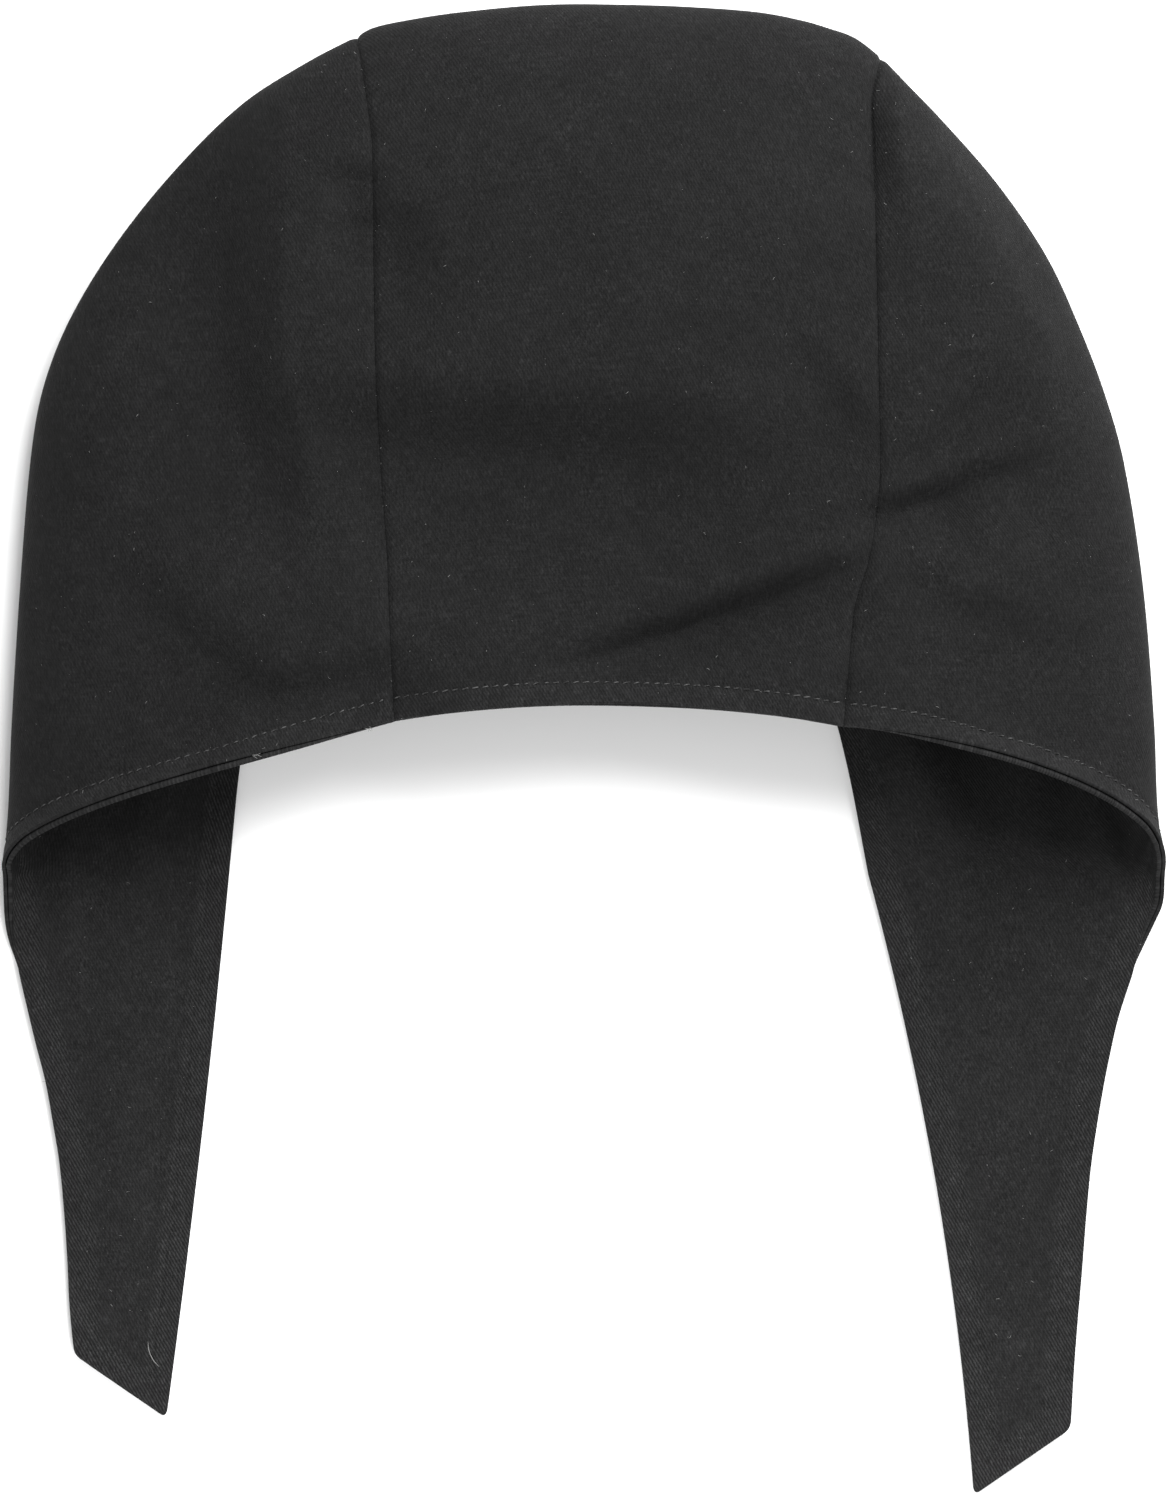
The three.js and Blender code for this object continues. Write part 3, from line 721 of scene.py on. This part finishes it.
def round_tip(rows):
    """Rounds the two corners of a tie's slanted end."""
    rows_in_reach, rows_above = 20, 11
    tip, above = rows[-1], rows[-1 - rows_above]
    for corner, neighbour, edge_end in ((tip[0], tip[-1], above[0]), (tip[-1], tip[0], above[-1])):
        across = (neighbour - corner) / np.linalg.norm(neighbour - corner)
        up = (edge_end - corner) / np.linalg.norm(edge_end - corner)
        corner, across, up = corner[:2].copy(), across[:2], up[:2]
        skew = np.linalg.inv(np.stack([across, up], axis=1))
        for row in rows[-rows_in_reach:]:
            a, b = ((row[:, :2] - corner) @ skew.T).T
            inside = (a < TIE_CORNER_ROUND) & (b < TIE_CORNER_ROUND)
            da, db = TIE_CORNER_ROUND - a[inside], TIE_CORNER_ROUND - b[inside]
            pull = np.maximum(da, db) / np.maximum(np.hypot(da, db), 1e-9)
            row[inside, :2] = (corner + (TIE_CORNER_ROUND - da * pull)[:, None] * across
                               + (TIE_CORNER_ROUND - db * pull)[:, None] * up)


def side_cloth(rows, sign):
    """Cloth coordinates: across from the seam over the fold, and straight down the table."""
    cloth = []
    for i, row in enumerate(rows):
        steps = np.hypot(np.diff(row[:, 0]), np.diff(row[:, 2]))
        across = np.concatenate([[0], np.cumsum(steps)])
        if i <= ROWS:
            across += abs(row[0, 0])
            turned = across[-1] + abs(row[-1, 0])
        else:
            across += turned - abs(row[-1, 0]) - across[-1]
        cloth.append(np.stack([sign * across / 10, row[:, 1] / 10], axis=-1))
    return cloth


side_sheets, side_hems, side_seam_ends = {}, {}, {}
for name, side in SIDES.items():
    rows = [cut_row(name, row) for row in range(ROWS + 1)]
    rows += [tie_row(name, along) for along in crowded(TIE_ROWS, 1.1, 1.15)[1:]]
    round_tip(rows)
    sheet = Sheet(rows, side_cloth(rows, side["sign"]), -side["sign"])
    upper_line = [row[0] for row in sheet.rows[:ROWS + 1]]
    under_line = [row[-1] for row in sheet.rows[:BROW_ROWS + 1]]
    nape_line, tie_edge_line = sheet.rows[ROWS][:UPPER_COLUMNS], [row[0] for row in sheet.rows[ROWS + 1:]]
    face_line = [row[-1] for row in sheet.rows[:BROW_ROWS:-1]]
    side_sheets[name] = sheet
    side_hems[name] = [sheet.points[i] for i in (*nape_line, *tie_edge_line, *sheet.rows[-1], *face_line)]
    side_seam_ends[name] = {*upper_line, *under_line}

    seams = [[sheet.points[i] for i in line] for line in (upper_line, under_line)]
    relief = shell_relief(sheet, seams, side_hems[name])
    piece = wall(f"{name}_side", sheet, SHELL_WALL, relief, side_seam_ends[name])
    keep_hem_distance(piece, side_hems[name])
    piece.data.materials.append(shell_linen)
    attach(piece, "root")
    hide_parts(f"{name}_side_shell")


# Lining
# The same three cuts once more in black linen, sewn in back to back with the outer cloth and turned in at the
# hems. It shows inside the hollow, on the ties, and as a second rolled edge beside the hem.
LINING_WALL = (-1.15, -0.15)
LINING_OVERHANG = 1.0
LINING_GROOVE = {"at": STITCH_INSET, "high": -0.3, "wide": 0.8}
TURNED_IN = {"wide": 9.0, "high": 0.22, "soft": 0.35}  # the band beside the hem where the edge is turned in
# the same black linen as the outer cloth, painted a little lighter: painted light on the open ties
LINING_TONE_PAINTED_LIGHTER = (0.0078, 0.0078, 0.0079)
lining_linen = black_linen("lining linen", LINING_TONE_PAINTED_LIGHTER, twill_turn=30, twill_share=1.2, hem_band=8,
                           hem_tone=1.25)


def lining_relief(sheet, hem):
    """The lining sinks along its topstitching, and the turned-in edges show as a low band beside the hem."""
    from_hem = distance_to(sheet.points, hem)
    band = TURNED_IN["high"] / (1 + np.exp((from_hem - TURNED_IN["wide"]) / TURNED_IN["soft"]))
    return band + bell(from_hem, **LINING_GROOVE)


crown_lining = wall("crown_lining_strip", strip_sheet, LINING_WALL, lining_relief(strip_sheet, nape_hem),
                    strip_seam_ends)
keep_hem_distance(crown_lining, nape_hem)
crown_lining.data.materials.append(lining_linen)
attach(crown_lining, "root")
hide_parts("crown_lining")

for name, sheet in side_sheets.items():
    piece = wall(f"{name}_lining", sheet, LINING_WALL, lining_relief(sheet, side_hems[name]),
                 side_seam_ends[name], LINING_OVERHANG)
    keep_hem_distance(piece, side_hems[name])
    piece.data.materials.append(lining_linen)
    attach(piece, "root")
    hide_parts(f"{name}_side_lining")


# Topstitching
# One row of machine stitches in black thread round every hem, 6 mm in from the edge. The thread is smooth and
# catches the light, and each stitch sits a little askew between two pinholes.
STITCH_PITCH = 2.7
STITCH_LENGTH = 2.0
THREAD = 0.4
THREAD_CORNERS = 6
THREAD_SINK = 0.22  # how deep the thread lies in the cloth
PRESSED_SINK = 0.25  # and how much deeper where the coif lies on it
THREAD_TONE = 0.065
BOBBIN_TONE = 0.012
PLY_SHADE_TONE = 0.01  # painted shade between the thread's plies

# One stitch from pinhole to pinhole, as shares of its length and of the thread's width, and its height.
STITCH_SHAPE = [
    {"along": -0.5, "thick": 0.35, "high": -0.25},
    {"along": -0.32, "thick": 0.9, "high": 0.02},
    {"along": 0, "thick": 1, "high": 0.14},
    {"along": 0.32, "thick": 0.9, "high": 0.02},
    {"along": 0.5, "thick": 0.35, "high": -0.25},
]


def stitch_lines(sheet, distance, skin):
    """The points at the stitches' distance from the hem, as lines of places and outward directions."""
    crossings, joins = {}, []
    for face in sheet.faces:
        found = []
        for a, b in zip(face, face[1:] + face[:1]):
            if (distance[a] < STITCH_INSET) != (distance[b] < STITCH_INSET):
                key = (min(a, b), max(a, b))
                share = (STITCH_INSET - distance[key[0]]) / (distance[key[1]] - distance[key[0]])
                crossings[key] = (lerp(skin[key[0]], skin[key[1]], share),
                                  lerp(sheet.outward[key[0]], sheet.outward[key[1]], share))
                found.append(key)
        if len(found) == 2:
            joins.append(found)
    beside = {}
    for a, b in joins:
        beside.setdefault(a, []).append(b)
        beside.setdefault(b, []).append(a)
    lines, used = [], set()
    for start in sorted(beside, key=lambda key: (len(beside[key]), key)):
        if start in used:
            continue
        line, here = [], start
        while here is not None:
            used.add(here)
            line.append(crossings[here])
            here = next((key for key in beside[here] if key not in used), None)
        lines.append(line)
    return lines


def add_tube(rings, vertices, faces):
    """Adds a closed tube through rings of points to a mesh's lists."""
    first, corners = len(vertices), len(rings[0])
    last = first + (len(rings) - 1) * corners
    for ring in rings:
        vertices.extend(ring)
    for start in range(first, last, corners):
        for corner in range(corners):
            a, b = start + corner, start + (corner + 1) % corners
            faces.append((a, b, b + corners, a + corners))
    faces.append(tuple(reversed(range(first, first + corners))))
    faces.append(tuple(range(last, last + corners)))


def add_stitches(line, facing, rng, vertices, faces):
    """Adds one stitch at every pitch of a line."""
    places = np.array([p for p, _ in line])
    outward = np.array([n for _, n in line]) * facing
    run = np.concatenate([[0], np.cumsum(np.linalg.norm(np.diff(places, axis=0), axis=1))])

    def along_line(values, at):
        return np.array([np.interp(at, run, values[:, k]) for k in range(3)])

    look_ahead = 0.6
    turns = [math.tau * corner / THREAD_CORNERS for corner in range(THREAD_CORNERS)]
    at = STITCH_PITCH / 2
    while at < run[-1] - STITCH_PITCH / 2:
        middle = along_line(places, at)
        up = along_line(outward, at)
        up /= np.linalg.norm(up)
        forward = along_line(places, at + look_ahead) - middle
        forward -= up * np.dot(forward, up)
        forward /= np.linalg.norm(forward)
        aside = np.cross(up, forward)
        slant = rng.uniform(0.1, 0.34)
        forward, aside = forward + aside * slant, aside - forward * slant
        length = STITCH_LENGTH * rng.uniform(0.85, 1.1)
        rings = []
        for part in STITCH_SHAPE:
            centre = middle + forward * length * part["along"] + up * part["high"]
            half = THREAD / 2 * part["thick"]
            rings.append([centre + (aside * math.cos(turn) + up * math.sin(turn)) * half for turn in turns])
        add_tube(rings, vertices, faces)
        at += STITCH_PITCH


def stitch_thread(name, tone):
    material = new_material(name, roughness=0.6, specular=0.15)
    nodes, links = material.node_tree.nodes, material.node_tree.links
    # painted shade: a noise that darkens the thread here and there, for the shade between its plies
    ply_shade = nodes.new("ShaderNodeTexNoise")
    ply_shade.inputs["Scale"].default_value = 900
    coordinates = nodes.new("ShaderNodeTexCoord")
    links.new(coordinates.outputs["Object"], ply_shade.inputs["Vector"])
    tones = nodes.new("ShaderNodeValToRGB")
    for stop, at, value in zip(tones.color_ramp.elements, (0.35, 0.65), (PLY_SHADE_TONE, tone)):
        stop.position = at
        stop.color = (value, value, value, 1)
    links.new(ply_shade.outputs["Fac"], tones.inputs["Fac"])
    links.new(tones.outputs["Color"], nodes["Principled BSDF"].inputs["Base Color"])
    return material


for piece_name, tone, cloth_height, facing, slot in (
    ("topstitching", THREAD_TONE, SHELL_WALL[1], 1, "shell_cloth"),
    ("lining_topstitching", BOBBIN_TONE, -LINING_WALL[0], -1, "lining_cloth"),
):
    rng = random.Random(11 + facing)
    vertices, faces = [], []
    for sheet, hems in ((strip_sheet, [nape_hem, brow_hem]), (side_sheets["left"], [side_hems["left"]]),
                        (side_sheets["right"], [side_hems["right"]])):
        pressed = PRESSED_SINK * (sheet.outward[:, 2] * facing < -0.5)
        skin = sheet.points + sheet.outward * (facing * (cloth_height - THREAD_SINK - pressed))[:, None]
        for hem in hems:
            for line in stitch_lines(sheet, distance_to(sheet.points, hem), skin):
                add_stitches(line, facing, rng, vertices, faces)
    piece = new_piece(piece_name, vertices, faces)
    piece.data.shade_smooth()
    piece.data.materials.append(stitch_thread(f"{piece_name} thread", tone))
    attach(piece, "root")


# Lint
# Short white fibres that cling to the black cloth here and there, with one longer curved hair on the left tie
# and two tufts caught in the nape hem.
LINT_COUNT = 560
LINT_LENGTHS = [0.16, 0.2, 0.28, 0.36, 0.5, 0.9]
LINT_HEIGHT = 1.2  # outward from the middle of the two layers, on the cloth's skin
COVERED_TO = -20  # the coif covers the ties down to here
HAIR = [(-118.0, -160.1), (-117.9, -161.9), (-117.4, -163.6), (-116.5, -165.3), (-115.0, -166.9)]
HAIR_HEIGHT = 2.6
HAIR_THICK = 0.12
TUFTS_X = (-87.6, -58.7)
TUFT_FIBRES = 5
TUFT_THICK = 0.05
ON_TABLE = 15  # a hem lower than this is on the under side or on a tie


def add_fibre(points, thick, vertices, faces):
    """Adds a fine three-sided tube along a few points."""
    rings = []
    for i, p in enumerate(points):
        ahead = points[min(i + 1, len(points) - 1)] - points[max(i - 1, 0)]
        aside = np.cross(ahead, (0, 0, 1))
        aside /= max(np.linalg.norm(aside), 1e-6)
        half = thick * (0.5 if i in (0, len(points) - 1) else 1)
        rings.append([p - aside * half, p + np.array([0, 0, half]), p + aside * half])
    add_tube(rings, vertices, faces)


rng = random.Random(5)
vertices, faces = [], []
visible = []
for sheet, facing in ((strip_sheet, 1), (side_sheets["left"], 1), (side_sheets["right"], 1),
                      (side_sheets["left"], -1), (side_sheets["right"], -1)):
    shows = sheet.outward[:, 2] * facing > 0.5
    if facing < 0:
        shows &= sheet.points[:, 1] < COVERED_TO
    skin = sheet.points + sheet.outward * facing * LINT_HEIGHT
    visible += [skin[i] for i in np.flatnonzero(shows)]
for _ in range(LINT_COUNT):
    points = [visible[rng.randrange(len(visible))]]
    heading, curl = rng.uniform(0, math.tau), rng.uniform(-1.2, 1.2)
    length = rng.choice(LINT_LENGTHS)
    for step in range(3):
        direction = heading + curl * step / 3
        points.append(points[-1] + np.array([math.cos(direction), math.sin(direction), 0]) * length / 3)
    add_fibre(points, rng.uniform(0.03, 0.06), vertices, faces)

add_fibre([np.array([x, y, HAIR_HEIGHT]) for x, y in HAIR], HAIR_THICK, vertices, faces)

for tuft_x in TUFTS_X:
    raised_hem = [p for p in (*side_hems["left"], *nape_hem) if p[2] > ON_TABLE]
    root = min(raised_hem, key=lambda p: abs(p[0] - tuft_x))
    for _ in range(TUFT_FIBRES):
        points = [root + np.array([rng.uniform(-1.1, 1.1), rng.uniform(-0.2, 0.5), 1.3])]
        heading = rng.uniform(-0.5, 0.5)
        for step in range(3):
            points.append(points[-1] + np.array([math.cos(heading), math.sin(heading) - 0.2, 0]) * 0.45)
            heading += rng.uniform(-0.7, 0.7)
        add_fibre(points, TUFT_THICK, vertices, faces)

lint = new_piece("lint", vertices, faces)
lint.data.materials.append(new_material("lint white", roughness=0.8, colour=(0.16, 0.16, 0.157)))
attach(lint, "root")


# Table and light
# A plain pale table top, a broad soft light from high up beyond the crown, three weaker ones low down on the
# right, on the left and before the ties, and pale light all round.
bpy.ops.object.select_all(action="DESELECT")
bpy.ops.mesh.primitive_plane_add(size=6, location=(0, 0, -0.2 * MM))
floor = bpy.context.object
floor.name = "floor"
floor.data.materials.append(new_material("table white", roughness=0.9, colour=(0.9, 0.9, 0.9)))

# Places and sizes in metres, power in watts.
LIGHTS = [
    {"name": "crown light", "at": (0.5, 1.0, 1.3), "size": 0.9, "power": 46},
    {"name": "right light", "at": (0.95, 0.9, 0.3), "size": 0.5, "power": 13},
    {"name": "left light", "at": (-1.2, 0.3, 0.3), "size": 0.6, "power": 4},
    {"name": "tie light", "at": (0.0, -0.55, 0.25), "size": 0.35, "power": 3.4},
]
for row in LIGHTS:
    bpy.ops.object.light_add(type="AREA", location=row["at"])
    light = bpy.context.object
    light.name = row["name"]
    light.data.shape = "SQUARE"
    light.data.size = row["size"]
    light.data.energy = row["power"]
    light.rotation_euler = (-Vector(row["at"])).to_track_quat("-Z", "Y").to_euler()

world = bpy.data.worlds.new("pale studio")
world.use_nodes = True
world.node_tree.nodes["Background"].inputs["Color"].default_value = (1, 1, 1, 1)
world.node_tree.nodes["Background"].inputs["Strength"].default_value = 0.55
bpy.context.scene.world = world
bpy.context.scene.view_settings.view_transform = "Standard"
